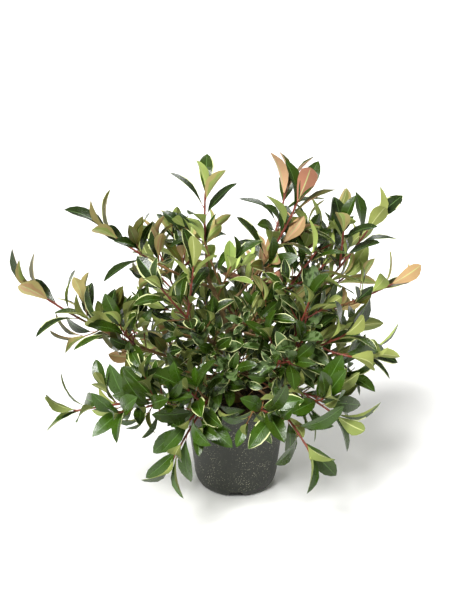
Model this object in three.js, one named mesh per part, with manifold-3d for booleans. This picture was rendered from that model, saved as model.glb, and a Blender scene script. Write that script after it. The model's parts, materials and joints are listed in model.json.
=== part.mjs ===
// A potted red tip photinia: a young evergreen shrub in a black nursery pot, in millimetres, +Z up.
// The origin is the middle of the pot's flat underside.
//
// The shrub grows by rule. A short trunk leans out of the compost and forks. Boughs leave it along plain curves to the
// places where the real shoots end. Past its bare stretch each shoot is a mass of foliage: one stem, the twigs that
// branch from it, and leaves set round both in a spiral, small and upright at the growing tip, broad and spreading below.
import * as THREE from "three";
import { mergeVertices } from "three/addons/utils/BufferGeometryUtils.js";
import Module from "manifold-3d";

const wasm = await Module();
wasm.setup();

// Pot: a 3 litre deep container, injection moulded
const POT_HEIGHT = 178;
const RIM_RADIUS = 95;
const LIP_HEIGHT = 12;
const LIP_PROUD = 2.6;
const SHOULDER_RADIUS = 77;
const SHOULDER_HEIGHT = 36;
const FOOT_RADIUS = 59;
const WALL = 1.4;
const FLOOR = 2;
const CHANNEL_DEPTH = 13;
const CHANNEL_INNER = 38;
const CHANNEL_OUTER = 51;
const POT_FACETS = 32;
const CORNER_STEPS = 3;
const NOTCHES = 4;
const NOTCH_WIDTH = 26;
const NOTCH_FLARE = 5;
const DRAIN_HOLES = 4;
const DRAIN_RADIUS = 5;

// Compost
const COMPOST_TOP = 163;
const COMPOST_EDGE_DROP = 5;
const CROWN_OF_MOUND = 16;

// Clearances
const GAP = 0.3;
const LEAF_CLEARANCE = 0.5;
const FLOOR_CLEARANCE = 8;
const POT_CLEARANCE = 3;

// Trunk
const TRUNK_RADII = [6.2, 3.9];
const ROOT_FLARE = 3;
const FLARE_LENGTH = 0.06;
const CHORDS = 24;
const TRUNK_SIDES = 8;
const TRUNK_STEPS = 12;
const BOUGH_SIDES = 5;
const BOUGH_STEP = 42;
const SHOOT_TIP_RADIUS = 1.6;
const SHOOT_TAPER = 0.0046;

// Twigs, three-sided
const STEM_SIDES = 3;
const STEM_STEP = 34;
const TWIG_RADII = [1.9, 1.5];
const TWIG_LENGTH = 62;
const TWIG_SPREAD = 48;
const TWIG_LIFT = 0.18;
const TWIG_TRIES = 7;

// Leaves
const GOLDEN_ANGLE = 137.5;
const LEAF_SHARE_WIDE = 0.34;
const WIDEST_AT = 0.56;
const THICKEST_AT = 0.3;
const LEAF_THICKNESS = 0.022;
const FOLD = 0.14;
const ROOT_DEPTH = 0.5;
const NODE_FIRST = 3;
const NODE_SPACING = 6;
const NODE_STRETCH = 3;
const NODE_SPACING_MAX = 28;
const TIP_SIZES = [0.85];
const TIP_ANGLE = 14;
const ANGLE_STEP = 9;
const ANGLE_MAX = 66;
const LEAF_TRIES = 6;
const TRY_TURN = 29;

const UP = new THREE.Vector3(0, 0, 1);
const REFERENCE = new THREE.Vector3(0.2, 0.95, 0.24).normalize();
const radians = THREE.MathUtils.degToRad;

const COLOURS = { pot: 0x3d3f3f, compost: 0x2a2019, bark: 0x6f563d, shoot: 0x7c3a2c, leaf: 0x3c6a33, marbled: 0x6d8a5a };

// The shoots. from and at say where each leaves its parent, as a share of the parent's length. tip is where its stem
// ends, and bow is how far its curve is pulled off the straight line. bare is the share with no foliage, which is its
// bough: a shoot with none springs straight from its parent. lift is how far its leaves turn up towards the light.
const SHOOTS = [
  { name: "leader_middle", from: "trunk", at: 1, tip: [-54, 20, 551], bow: [-6, 0, 0], bare: 0.3,
    twigs: 0, leaf: 84, lift: 0.1 },
  { name: "leader_left", from: "trunk", at: 0.93, tip: [-225, -10, 492], bow: [0, 0, -22], bare: 0.34,
    twigs: 0, leaf: 80, lift: 0.3 },
  { name: "leader_right", from: "trunk", at: 0.74, tip: [104, 0, 538], bow: [14, 0, -26], bare: 0.4,
    twigs: 0, leaf: 88, lift: 0.3 },
  { name: "leader_back", from: "trunk", at: 0.54, tip: [89, 90, 535], bow: [22, 0, -12], bare: 0.5,
    twigs: 0, leaf: 90, lift: 0.1 },
  { name: "left_front", from: "trunk", at: 0.31, tip: [-128, -90, 416], bow: [0, 0, -14], bare: 0.5,
    twigs: 1, leaf: 76, lift: 0.22 },
  { name: "far_left", from: "trunk", at: 0.25, tip: [-342, -70, 402], bow: [0, -20, -46], bare: 0.56,
    twigs: 0, leaf: 88, lift: 0.4 },
  { name: "low_left", from: "trunk", at: 0.09, tip: [-277, -130, 206], bow: [0, -60, 34], bare: 0.5,
    twigs: 1, leaf: 80, lift: 0.33 },
  { name: "front_left", from: "trunk", at: 0.13, tip: [-81, -150, 197], bow: [0, 0, 26], bare: 0.62,
    twigs: 1, leaf: 82, lift: 0 },
  { name: "front", from: "trunk", at: 0.07, tip: [48, -190, 234], bow: [0, -10, -2], bare: 0.72,
    twigs: 0, leaf: 82, lift: 0.1 },
  { name: "front_right", from: "trunk", at: 0.16, tip: [118, -190, 167], bow: [0, -6, 56], bare: 0.55,
    twigs: 0, leaf: 84, lift: 0.1 },
  { name: "low_right", from: "trunk", at: 0.2, tip: [169, -130, 198], bow: [0, 0, 36], bare: 0.5,
    twigs: 2, leaf: 90, lift: 0.2 },
  { name: "right", from: "trunk", at: 0.28, tip: [183, -80, 324], bow: [0, 0, -18], bare: 0.52,
    twigs: 2, leaf: 82, lift: 0.2 },
  { name: "right_low", from: "trunk", at: 0.22, tip: [237, 0, 254], bow: [0, 10, -6], bare: 0.46,
    twigs: 1, leaf: 82, lift: 0.15 },
  { name: "far_right", from: "trunk", at: 0.36, tip: [239, 50, 482], bow: [0, 0, -66], bare: 0.52,
    twigs: 2, leaf: 84, lift: 0.4 },
  { name: "right_up", from: "far_right", at: 0.42, tip: [280, 40, 375], bow: [0, 0, -16], bare: 0.62,
    twigs: 0, leaf: 70, lift: 0.4 },
  { name: "right_back", from: "leader_back", at: 0.36, tip: [175, 80, 479], bow: [10, 0, -12], bare: 0.4,
    twigs: 1, leaf: 80, lift: 0.2 },
  { name: "right_middle", from: "trunk", at: 0.42, tip: [139, -20, 459], bow: [0, -16, -10], bare: 0.48,
    twigs: 1, leaf: 78, lift: 0.15 },
  { name: "back_left", from: "trunk", at: 0.47, tip: [-154, 190, 346], bow: [0, 0, -10], bare: 0.4,
    twigs: 2, leaf: 76, lift: 0.2 },
  { name: "back_middle", from: "trunk", at: 0.39, tip: [9, 220, 325], bow: [0, 0, -10], bare: 0.36,
    twigs: 2, leaf: 80, lift: 0.2 },
  { name: "back_right", from: "trunk", at: 0.33, tip: [209, 190, 389], bow: [0, 0, -30], bare: 0.44,
    twigs: 2, leaf: 80, lift: 0.2 },
  { name: "back_low_left", from: "trunk", at: 0.15, tip: [-204, 190, 224], bow: [0, 0, -10], bare: 0.44,
    twigs: 2, leaf: 78, lift: 0.3 },
  { name: "back_low_right", from: "trunk", at: 0.18, tip: [214, 180, 228], bow: [0, 0, -8], bare: 0.44,
    twigs: 1, leaf: 80, lift: 0.3 },
  { name: "left_inner", from: "leader_left", at: 0.26, tip: [-104, 70, 456], bow: [0, 10, 0], bare: 0,
    twigs: 1, leaf: 72, lift: 0.1 },
  { name: "left_middle", from: "far_left", at: 0.5, tip: [-196, -100, 348], bow: [0, -8, -6], bare: 0,
    twigs: 1, leaf: 76, lift: 0.2 },
  { name: "low_left_inner", from: "low_left", at: 0.42, tip: [-150, -165, 232], bow: [0, 0, -6], bare: 0,
    twigs: 0, leaf: 80, lift: 0.4 },
  { name: "droop_left", from: "front_left", at: 0.55, tip: [-104, -190, 152], bow: [0, 0, 10], bare: 0,
    twigs: 0, leaf: 86, lift: -0.1 },
  { name: "right_inner", from: "right", at: 0.36, tip: [97, -126, 296], bow: [0, -6, 0], bare: 0,
    twigs: 1, leaf: 68, lift: 0.2 },
  { name: "right_front", from: "right", at: 0.46, tip: [123, -76, 385], bow: [6, 0, 0], bare: 0,
    twigs: 1, leaf: 74, lift: 0.2 },
  { name: "back_low_middle", from: "trunk", at: 0.11, tip: [8, 215, 226], bow: [0, 0, 6], bare: 0,
    twigs: 1, leaf: 78, lift: 0.2 },
  { name: "inner_front", from: "trunk", at: 0.24, tip: [-8, -96, 268], bow: [0, 0, 0], bare: 0,
    twigs: 1, leaf: 58, lift: 0.1 },
  { name: "inner_left", from: "trunk", at: 0.44, tip: [-92, -58, 318], bow: [0, 0, 0], bare: 0,
    twigs: 1, leaf: 58, lift: 0.1 },
  { name: "inner_right", from: "trunk", at: 0.58, tip: [52, -66, 352], bow: [0, 0, 0], bare: 0,
    twigs: 1, leaf: 58, lift: 0.1 },
  { name: "inner_top", from: "trunk", at: 0.84, tip: [-6, -20, 438], bow: [0, 0, 0], bare: 0,
    twigs: 1, leaf: 64, lift: 0.1 },
  { name: "inner_low", from: "trunk", at: 0.17, tip: [-88, -70, 252], bow: [0, 0, 0], bare: 0,
    twigs: 1, leaf: 60, lift: 0.1 },
];

// Solids by code: a geometry becomes a solid that can be joined and cut, and comes back as a geometry.
function solidFrom(geometry) {
  const bare = geometry.clone();
  bare.deleteAttribute("normal");
  bare.deleteAttribute("uv");
  const merged = mergeVertices(bare, 1e-4);
  return new wasm.Manifold(
    new wasm.Mesh({
      numProp: 3,
      vertProperties: merged.attributes.position.array,
      triVerts: new Uint32Array(merged.index.array),
    }),
  );
}

function geometryFrom(solid) {
  const mesh = solid.getMesh();
  const geometry = new THREE.BufferGeometry();
  geometry.setAttribute("position", new THREE.BufferAttribute(new Float32Array(mesh.vertProperties), 3));
  geometry.setIndex(new THREE.BufferAttribute(new Uint32Array(mesh.triVerts), 1));
  geometry.computeVertexNormals();
  return geometry;
}

function largestBody(solid) {
  return solid.decompose().reduce((best, body) => (body.volume() > best.volume() ? body : best));
}

const plant = new THREE.Group();

function addNode(name, geometry, colour, roughness) {
  const material = new THREE.MeshStandardMaterial({ color: colour, roughness, metalness: 0, flatShading: true });
  const mesh = new THREE.Mesh(geometry, material);
  mesh.name = name;
  plant.add(mesh);
}

// The same seed always gives the same numbers, from 0 to 1.
function seeded(seed) {
  let state = seed;
  const draw = () => {
    state = (state * 1664525 + 1013904223) % 4294967296;
    return state / 4294967296;
  };
  for (let i = 0; i < 4; i += 1) draw();
  return draw;
}

// Pot

// The outside of the pot from the foot to the lip, as [radius, height], pulled in by inset for the inside.
function wallProfile(inset) {
  const points = [];
  for (let i = 0; i <= CORNER_STEPS; i += 1) {
    const turn = (i / CORNER_STEPS) * (Math.PI / 2);
    const radius = FOOT_RADIUS + (SHOULDER_RADIUS - FOOT_RADIUS) * Math.sin(turn);
    points.push([radius - inset, SHOULDER_HEIGHT * (1 - Math.cos(turn))]);
  }
  points.push([RIM_RADIUS - LIP_PROUD - inset, POT_HEIGHT - LIP_HEIGHT]);
  return points;
}

function turned(profile) {
  const outline = profile.map(([radius, height]) => new THREE.Vector2(radius, height));
  return solidFrom(new THREE.LatheGeometry(outline, POT_FACETS).rotateX(Math.PI / 2));
}

// One foot notch: a wedge-sided slot under the foot, which lets water out.
function notch(turn) {
  const shape = new THREE.Shape();
  shape.moveTo(-NOTCH_WIDTH / 2 - NOTCH_FLARE / 2, -1);
  shape.lineTo(NOTCH_WIDTH / 2 + NOTCH_FLARE / 2, -1);
  shape.lineTo(NOTCH_WIDTH / 2 - NOTCH_FLARE / 2, CHANNEL_DEPTH);
  shape.lineTo(-NOTCH_WIDTH / 2 + NOTCH_FLARE / 2, CHANNEL_DEPTH);
  shape.closePath();
  const reach = FOOT_RADIUS;
  const slot = new THREE.ExtrudeGeometry(shape, { depth: reach, bevelEnabled: false });
  slot.rotateX(Math.PI / 2);
  slot.translate(0, -(CHANNEL_OUTER - 4), 0);
  slot.rotateZ(turn);
  return solidFrom(slot);
}

function drainHole(turn) {
  const hole = new THREE.CylinderGeometry(DRAIN_RADIUS, DRAIN_RADIUS, CHANNEL_DEPTH * 3, 8);
  hole.rotateX(Math.PI / 2);
  hole.translate((CHANNEL_INNER + CHANNEL_OUTER) / 2, 0, CHANNEL_DEPTH);
  hole.rotateZ(turn);
  return solidFrom(hole);
}

function makePot() {
  const rimInside = RIM_RADIUS - LIP_PROUD - WALL;
  const inside = wallProfile(WALL).slice(2).reverse();
  let pot = turned([
    [0, 0],
    [CHANNEL_INNER, 0],
    [CHANNEL_INNER + 1.5, CHANNEL_DEPTH],
    [CHANNEL_OUTER - 1.5, CHANNEL_DEPTH],
    [CHANNEL_OUTER, 0],
    ...wallProfile(0),
    [RIM_RADIUS, POT_HEIGHT - LIP_HEIGHT + 1.5],
    [RIM_RADIUS, POT_HEIGHT - 1.5],
    [RIM_RADIUS - 1, POT_HEIGHT],
    [rimInside + 0.6, POT_HEIGHT],
    ...inside,
    [FOOT_RADIUS - WALL, CHANNEL_DEPTH + FLOOR],
    [CHANNEL_INNER, CHANNEL_DEPTH + FLOOR],
    [CHANNEL_INNER - 1.5, FLOOR],
    [0, FLOOR],
  ]);
  for (let i = 0; i < NOTCHES; i += 1) pot = pot.subtract(notch((i * 2 * Math.PI) / NOTCHES));
  for (let i = 0; i < DRAIN_HOLES; i += 1) pot = pot.subtract(drainHole(((i + 0.5) * 2 * Math.PI) / DRAIN_HOLES));
  addNode("pot", geometryFrom(pot), COLOURS.pot, 0.75);
}

// Compost: it fills the pot to just under the lip, and its flat crown carries the trunk.
function makeCompost() {
  const inside = wallProfile(WALL + GAP).slice(2);
  const slope = (RIM_RADIUS - LIP_PROUD - SHOULDER_RADIUS) / (POT_HEIGHT - LIP_HEIGHT - SHOULDER_HEIGHT);
  const edge = COMPOST_TOP - COMPOST_EDGE_DROP;
  const edgeRadius = SHOULDER_RADIUS - WALL - GAP + (edge - SHOULDER_HEIGHT) * slope;
  const compost = turned([
    [0, FLOOR + GAP],
    [CHANNEL_INNER - 1.5 - GAP, FLOOR + GAP],
    [CHANNEL_INNER - GAP, CHANNEL_DEPTH + FLOOR + GAP],
    [FOOT_RADIUS - WALL - GAP, CHANNEL_DEPTH + FLOOR + GAP],
    ...inside.slice(0, -1),
    [edgeRadius, edge],
    [CROWN_OF_MOUND, COMPOST_TOP],
    [0, COMPOST_TOP],
  ]);
  addNode("compost", geometryFrom(compost), COLOURS.compost, 1);
}

// Limbs

// A limb runs along a parabola, from its start to its tip, and tapers evenly but for a flare at its foot.
class Limb {
  constructor(start, middle, tip, radii, flare = 0) {
    Object.assign(this, { start, middle, tip, radii, flare });
    this.length = 0;
    for (let i = 0; i < CHORDS; i += 1) this.length += this.point(i / CHORDS).distanceTo(this.point((i + 1) / CHORDS));
  }
  point(t) {
    const place = this.start.clone().multiplyScalar((1 - t) ** 2);
    return place.addScaledVector(this.middle, 2 * t * (1 - t)).addScaledVector(this.tip, t ** 2);
  }
  radius(t) {
    const taper = this.radii[0] + (this.radii[1] - this.radii[0]) * t;
    return taper + this.flare * Math.max(0, 1 - t / FLARE_LENGTH) ** 2;
  }
  // The directions along the limb and across it, at any share of its length.
  frame(t) {
    const along = this.middle.clone().sub(this.start).multiplyScalar(1 - t);
    along.addScaledVector(this.tip, t).addScaledVector(this.middle, -t).normalize();
    const across = new THREE.Vector3().crossVectors(along, REFERENCE).normalize();
    return { along, across, over: new THREE.Vector3().crossVectors(across, along) };
  }
}

// A cylinder bent along a limb from one share of its length to another, each ring at the limb's radius there.
function limbGeometry(limb, from, to, sides, steps, extra = 0) {
  const geometry = new THREE.CylinderGeometry(1, 1, 1, sides, steps);
  const position = geometry.attributes.position;
  for (let i = 0; i < position.count; i += 1) {
    const t = from + (to - from) * (position.getY(i) + 0.5);
    const { across, over } = limb.frame(t);
    const radius = limb.radius(t) + extra;
    const place = limb.point(t);
    place.addScaledVector(across, position.getX(i) * radius);
    place.addScaledVector(over, position.getZ(i) * radius);
    position.setXYZ(i, place.x, place.y, place.z);
  }
  return geometry;
}

// Obstacles: everything that a later leaf or twig must stay clear of, each with its points, faces and edges.
const obstacles = [];

function obstacle(points, faces, owner) {
  const edges = [];
  for (const face of faces)
    for (let i = 0; i < 3; i += 1) {
      const a = face[i];
      const b = face[(i + 1) % 3];
      if (a < b) edges.push([a, b]);
    }
  return { points, faces, edges, owner, box: new THREE.Box3().setFromPoints(points) };
}

// One straight stretch of a limb as a three-sided prism that is fatter than the limb by the leaf clearance.
function stretchObstacle(limb, from, to, owner) {
  const points = [];
  for (const t of [from, to]) {
    const { across, over } = limb.frame(t);
    const reach = limb.radius(t) * 1.25 + LEAF_CLEARANCE;
    for (let i = 0; i < 3; i += 1) {
      const turn = (i * 2 * Math.PI) / 3;
      const place = limb.point(t);
      place.addScaledVector(across, Math.cos(turn) * reach);
      place.addScaledVector(over, Math.sin(turn) * reach);
      points.push(place);
    }
  }
  const faces = [];
  for (let i = 0; i < 3; i += 1) {
    const j = (i + 1) % 3;
    faces.push([i, j, j + 3], [i, j + 3, i + 3]);
  }
  return obstacle(points, faces, owner);
}

function stretches(limb, from, to, owner) {
  const count = Math.max(1, Math.round((limb.length * (to - from)) / STEM_STEP));
  const share = (to - from) / count;
  return Array.from({ length: count }, (_, i) =>
    stretchObstacle(limb, from + share * i, from + share * (i + 1), owner),
  );
}

const edge1 = new THREE.Vector3();
const edge2 = new THREE.Vector3();
const ray = new THREE.Vector3();
const across1 = new THREE.Vector3();
const offset = new THREE.Vector3();
const across2 = new THREE.Vector3();

function segmentMeetsTriangle(p, q, a, b, c) {
  ray.subVectors(q, p);
  edge1.subVectors(b, a);
  edge2.subVectors(c, a);
  across1.crossVectors(ray, edge2);
  const det = edge1.dot(across1);
  if (Math.abs(det) < 1e-9) return false;
  offset.subVectors(p, a);
  const u = offset.dot(across1) / det;
  if (u < 0 || u > 1) return false;
  across2.crossVectors(offset, edge1);
  const v = ray.dot(across2) / det;
  if (v < 0 || u + v > 1) return false;
  const t = edge2.dot(across2) / det;
  return t >= 0 && t <= 1;
}

function edgesMeetFaces(one, other) {
  return one.edges.some(([i, j]) =>
    other.faces.some(([a, b, c]) =>
      segmentMeetsTriangle(one.points[i], one.points[j], other.points[a], other.points[b], other.points[c]),
    ),
  );
}

function touches(one, other) {
  return one.box.intersectsBox(other.box) && (edgesMeetFaces(one, other) || edgesMeetFaces(other, one));
}

// True if every point, and a few between each pair joined by an edge, is clear of the pot and above the floor.
function clearOfPot(thing) {
  const place = new THREE.Vector3();
  return thing.edges.every(([i, j]) =>
    [0, 0.25, 0.5, 0.75, 1].every((share) => {
      place.lerpVectors(thing.points[i], thing.points[j], share);
      const nearPot = Math.hypot(place.x, place.y) < RIM_RADIUS + POT_CLEARANCE;
      return place.z > (nearPot ? POT_HEIGHT + POT_CLEARANCE : FLOOR_CLEARANCE);
    }),
  );
}

function isClear(thing, owner) {
  return clearOfPot(thing) && !obstacles.some((other) => other.owner !== owner && touches(thing, other));
}

// Leaves

// The eight faces of a leaf, between its points: root, left, right, tip, crest above and keel below.
const LEAF_FACES = [
  [0, 2, 4],
  [2, 3, 4],
  [3, 1, 4],
  [1, 0, 4],
  [2, 0, 5],
  [3, 2, 5],
  [1, 3, 5],
  [0, 1, 5],
];

// A place on a leaf: forward from its root on the twig, sideways off its midrib, and up off its face.
function leafPlace(leaf, forward, sideways, up) {
  const place = leaf.root.clone().addScaledVector(leaf.along, forward);
  return place.addScaledVector(leaf.side, sideways).addScaledVector(leaf.face, up);
}

// A leaf's points. Its blade is folded up along the midrib and bent back at the tip. Clearance makes it larger all
// round, as the room that it needs.
function leafPoints(leaf, clearance) {
  const widest = leaf.length * WIDEST_AT;
  const thickest = leaf.length * THICKEST_AT;
  const half = leaf.width / 2 + clearance;
  const lift = leaf.width * FOLD;
  const thick = (leaf.length * LEAF_THICKNESS) / 2 + clearance;
  return [
    leafPlace(leaf, -ROOT_DEPTH, 0, 0),
    leafPlace(leaf, widest, -half, lift),
    leafPlace(leaf, widest, half, lift),
    leafPlace(leaf, leaf.length + clearance, 0, -leaf.recurve),
    leafPlace(leaf, thickest, 0, thick),
    leafPlace(leaf, thickest, 0, -thick),
  ];
}

function leafGeometry(points) {
  const geometry = new THREE.BufferGeometry().setFromPoints(points);
  geometry.setIndex(LEAF_FACES.flat());
  return geometry;
}

// The leaves of one stem or twig, from its tip down: they turn round it by the golden angle, lean out further and
// grow larger down to the full-grown ones, and lie flatter to the light the lower they are.
function leavesOf(axis, foliage, from, draw, owner) {
  const roll = 360 * draw();
  const leaves = [];
  let fromTip = NODE_FIRST;
  for (let rank = 0; fromTip < axis.length * (1 - from) - NODE_FIRST; rank += 1) {
    const t = 1 - fromTip / axis.length;
    const { along, across, over } = axis.frame(t);
    const size = foliage.leaf * (TIP_SIZES[rank] ?? 1) * (0.88 + 0.24 * draw());
    const slant = Math.min(ANGLE_MAX, TIP_ANGLE + ANGLE_STEP * rank) + 12 * (draw() - 0.5);
    const recurve = size * (0.04 + 0.08 * draw());
    const width = size * (LEAF_SHARE_WIDE + 0.06 * (draw() - 0.5));
    const flat = Math.min(0.85, 0.12 * rank) * (0.6 + 0.4 * draw());
    for (let attempt = 0; attempt < LEAF_TRIES; attempt += 1) {
      const turn = radians(roll + GOLDEN_ANGLE * rank + TRY_TURN * attempt * (attempt % 2 ? 1 : -1));
      const out = across.clone().multiplyScalar(Math.cos(turn)).addScaledVector(over, Math.sin(turn));
      const heading = along
        .clone()
        .multiplyScalar(Math.cos(radians(slant)))
        .addScaledVector(out, Math.sin(radians(slant)))
        .addScaledVector(UP, foliage.lift)
        .normalize();
      const inward = along.clone().addScaledVector(heading, -along.dot(heading)).normalize();
      const upward = UP.clone().addScaledVector(heading, -UP.dot(heading));
      const face = inward.multiplyScalar(1 - flat).addScaledVector(upward, flat);
      face.addScaledVector(heading, -face.dot(heading)).normalize();
      const side = new THREE.Vector3().crossVectors(heading, face);
      const leaf = { root: axis.point(t), along: heading, face, side, length: size, width, recurve };
      if (isClear(obstacle(leafPoints(leaf, LEAF_CLEARANCE), LEAF_FACES), axis)) {
        obstacles.push(obstacle(leafPoints(leaf, 0), LEAF_FACES, leaf));
        leaves.push(leaf);
        break;
      }
    }
    fromTip += Math.min(NODE_SPACING_MAX, NODE_SPACING + NODE_STRETCH * rank);
  }
  return leaves;
}

// The twigs of one stem: short side shoots that lean out and lift towards the light.
function twigsOf(stem, foliage, from, draw, owner) {
  const roll = 360 * draw();
  const twigs = [];
  for (let i = 0; i < foliage.twigs; i += 1) {
    const t = from + (1 - from) * ((i + 0.35 + 0.3 * draw()) / (foliage.twigs + 0.9));
    const length = TWIG_LENGTH * (0.8 + 0.5 * draw());
    const { along, across, over } = stem.frame(t);
    for (let attempt = 0; attempt < TWIG_TRIES; attempt += 1) {
      const turn = radians(roll + 180 * i + 50 * attempt);
      const out = across.clone().multiplyScalar(Math.cos(turn)).addScaledVector(over, Math.sin(turn));
      const heading = along
        .clone()
        .multiplyScalar(Math.cos(radians(TWIG_SPREAD)))
        .addScaledVector(out, Math.sin(radians(TWIG_SPREAD)));
      const start = stem.point(t);
      const middle = start.clone().addScaledVector(heading, length * 0.5);
      const tip = start.clone().addScaledVector(heading, length).addScaledVector(UP, length * TWIG_LIFT);
      const twig = new Limb(start, middle, tip, TWIG_RADII);
      const parts = stretches(twig, 0.08, 1, owner);
      if (parts.every((part) => isClear(part, owner))) {
        parts.forEach((part) => (part.owner = twig));
        obstacles.push(...parts);
        twigs.push(twig);
        break;
      }
    }
  }
  return twigs;
}

// The plant

const limbs = new Map();

function makeTrunk() {
  const foot = new THREE.Vector3(2, 0, COMPOST_TOP + GAP);
  const middle = new THREE.Vector3(2, 0, 285);
  const fork = new THREE.Vector3(-49, 0, 399);
  const trunk = new Limb(foot, middle, fork, TRUNK_RADII, ROOT_FLARE);
  limbs.set("trunk", trunk);
  obstacles.push(...stretches(trunk, 0, 1, trunk));
  addNode("trunk", geometryFrom(trunkSolid(0)), COLOURS.bark, 0.9);
}

// The trunk, or the space that it needs when it is grown by some clearance.
function trunkSolid(extra) {
  const trunk = limbs.get("trunk");
  return solidFrom(limbGeometry(trunk, 0, 1 + extra / trunk.length, TRUNK_SIDES, TRUNK_STEPS, extra));
}

function limbSolid(limb, from, to, sides, step, extra) {
  const steps = Math.max(2, Math.round((limb.length * (to - from)) / step));
  return solidFrom(limbGeometry(limb, from, to, sides, steps, extra));
}

// A solid cut clear of the parent that it springs from.
function cutClear(solid, shoot) {
  const parent = limbs.get(shoot.from);
  const swollen =
    shoot.from === "trunk" ? trunkSolid(GAP) : limbSolid(parent, 0, parent.bare, BOUGH_SIDES, BOUGH_STEP, GAP);
  return largestBody(solid.subtract(swollen));
}

function makeLimbs() {
  for (const shoot of SHOOTS) {
    const parent = limbs.get(shoot.from);
    const start = parent.point(shoot.at);
    if (shoot.at === 1) start.addScaledVector(parent.frame(1).along, GAP);
    const tip = new THREE.Vector3(...shoot.tip);
    const middle = start.clone().add(tip).multiplyScalar(0.5).add(new THREE.Vector3(...shoot.bow));
    const limb = new Limb(start, middle, tip, [0, SHOOT_TIP_RADIUS]);
    limb.radii[0] = SHOOT_TIP_RADIUS + limb.length * SHOOT_TAPER;
    limb.bare = shoot.bare;
    limbs.set(shoot.name, limb);
    obstacles.push(...stretches(limb, Math.max(0.04, shoot.bare), 1, limb));
    if (shoot.bare === 0) continue;
    obstacles.push(...stretches(limb, 0.04, shoot.bare, limb));
    const bough = cutClear(limbSolid(limb, 0, shoot.bare, BOUGH_SIDES, BOUGH_STEP, 0), shoot);
    addNode(`bough_${shoot.name}`, geometryFrom(bough), COLOURS.bark, 0.85);
  }
}

function makeFoliage() {
  const grown = SHOOTS.map((shoot, index) => {
    const stem = limbs.get(shoot.name);
    const draw = seeded(index + 11);
    return { shoot, stem, draw, twigs: twigsOf(stem, shoot, shoot.bare, draw, stem) };
  });
  for (const { shoot, stem, draw, twigs } of grown) {
    const start = shoot.bare > 0 ? shoot.bare + GAP / stem.length : 0;
    const leaves = leavesOf(stem, shoot, Math.max(start, 0.1), draw, stem);
    for (const twig of twigs) leaves.push(...leavesOf(twig, shoot, 0.12, draw, twig));
    let mass = limbSolid(stem, start, 1, STEM_SIDES, STEM_STEP, 0);
    if (shoot.bare === 0) mass = cutClear(mass, shoot);
    for (const twig of twigs) mass = mass.add(limbSolid(twig, 0, 1, STEM_SIDES, STEM_STEP, 0));
    for (const leaf of leaves) mass = mass.add(solidFrom(leafGeometry(leafPoints(leaf, 0))));
    const colour = shoot.name.startsWith("inner") ? COLOURS.marbled : COLOURS.leaf;
    addNode(`foliage_${shoot.name}`, geometryFrom(largestBody(mass)), colour, 0.5);
  }
}

makePot();
makeCompost();
makeTrunk();
makeLimbs();
makeFoliage();

export default plant;
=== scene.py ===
import json
from collections import namedtuple
from math import atan2, cos, hypot, pi, radians, sin, sqrt

import bpy
import numpy as np
from mathutils.bvhtree import BVHTree
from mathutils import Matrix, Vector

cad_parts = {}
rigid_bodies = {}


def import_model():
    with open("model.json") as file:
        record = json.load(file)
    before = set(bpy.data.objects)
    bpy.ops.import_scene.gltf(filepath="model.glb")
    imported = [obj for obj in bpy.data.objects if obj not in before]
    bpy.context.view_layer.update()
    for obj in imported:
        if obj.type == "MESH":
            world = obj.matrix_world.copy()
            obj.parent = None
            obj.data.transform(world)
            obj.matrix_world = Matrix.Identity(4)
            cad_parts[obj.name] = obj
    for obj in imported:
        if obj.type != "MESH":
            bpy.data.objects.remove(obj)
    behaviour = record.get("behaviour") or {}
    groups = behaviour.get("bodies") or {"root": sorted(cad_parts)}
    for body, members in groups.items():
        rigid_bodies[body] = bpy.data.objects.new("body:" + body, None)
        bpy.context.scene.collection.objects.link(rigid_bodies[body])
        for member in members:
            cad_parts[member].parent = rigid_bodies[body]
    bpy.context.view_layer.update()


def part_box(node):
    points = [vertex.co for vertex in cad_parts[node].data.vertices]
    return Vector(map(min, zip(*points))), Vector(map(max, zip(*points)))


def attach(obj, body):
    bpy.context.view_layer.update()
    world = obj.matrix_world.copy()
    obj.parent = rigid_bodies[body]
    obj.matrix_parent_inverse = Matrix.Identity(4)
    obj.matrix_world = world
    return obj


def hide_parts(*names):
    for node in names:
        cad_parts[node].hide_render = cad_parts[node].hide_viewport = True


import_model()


# The pot. A deep round container of recycled black polypropylene, injection moulded in one piece: a rolled lip
# round the rim, a plain tapered wall, rounded shoulders, and a foot ring with four water notches round a flat disc.
MM = 0.001
POT_SIDES = 128
RIM_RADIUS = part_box("pot")[1].x
POT_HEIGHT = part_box("pot")[1].z
LIP_HEIGHT = 12 * MM
LIP_PROUD = 2.6 * MM
SHOULDER_RADIUS = 77 * MM
SHOULDER_HEIGHT = 36 * MM
FOOT_RADIUS = 59 * MM
DISC_RADIUS = 38 * MM
CHANNEL_OUTER = 51 * MM
CHANNEL_DEPTH = 13 * MM
WALL = 1.4 * MM
FLOOR = 2 * MM
SHOULDER_STEPS = 9
WALL_STEPS = 6
INSIDE_FROM = 6
NOTCHES = 4
NOTCH_WIDTH = 26 * MM
NOTCH_FLARE = 5 * MM
NOTCH_MIDDLE = FOOT_RADIUS + 6 * MM
NOTCH_REACH = 36 * MM
CHANNEL_DRAFT = 1.5 * MM
DRAIN_HOLES = 4
DRAIN_RADIUS = 5 * MM
EDGE_ROUNDING = 0.5 * MM
EDGE_ANGLE = radians(40)
SMOOTH_ANGLE = radians(35)


def linear(colour):
    """An sRGB hex colour as the linear values that a shader takes."""
    parts = [int(colour[i : i + 2], 16) / 255 for i in (1, 3, 5)]
    return [*(p / 12.92 if p <= 0.04045 else ((p + 0.055) / 1.055) ** 2.4 for p in parts), 1]


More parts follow.
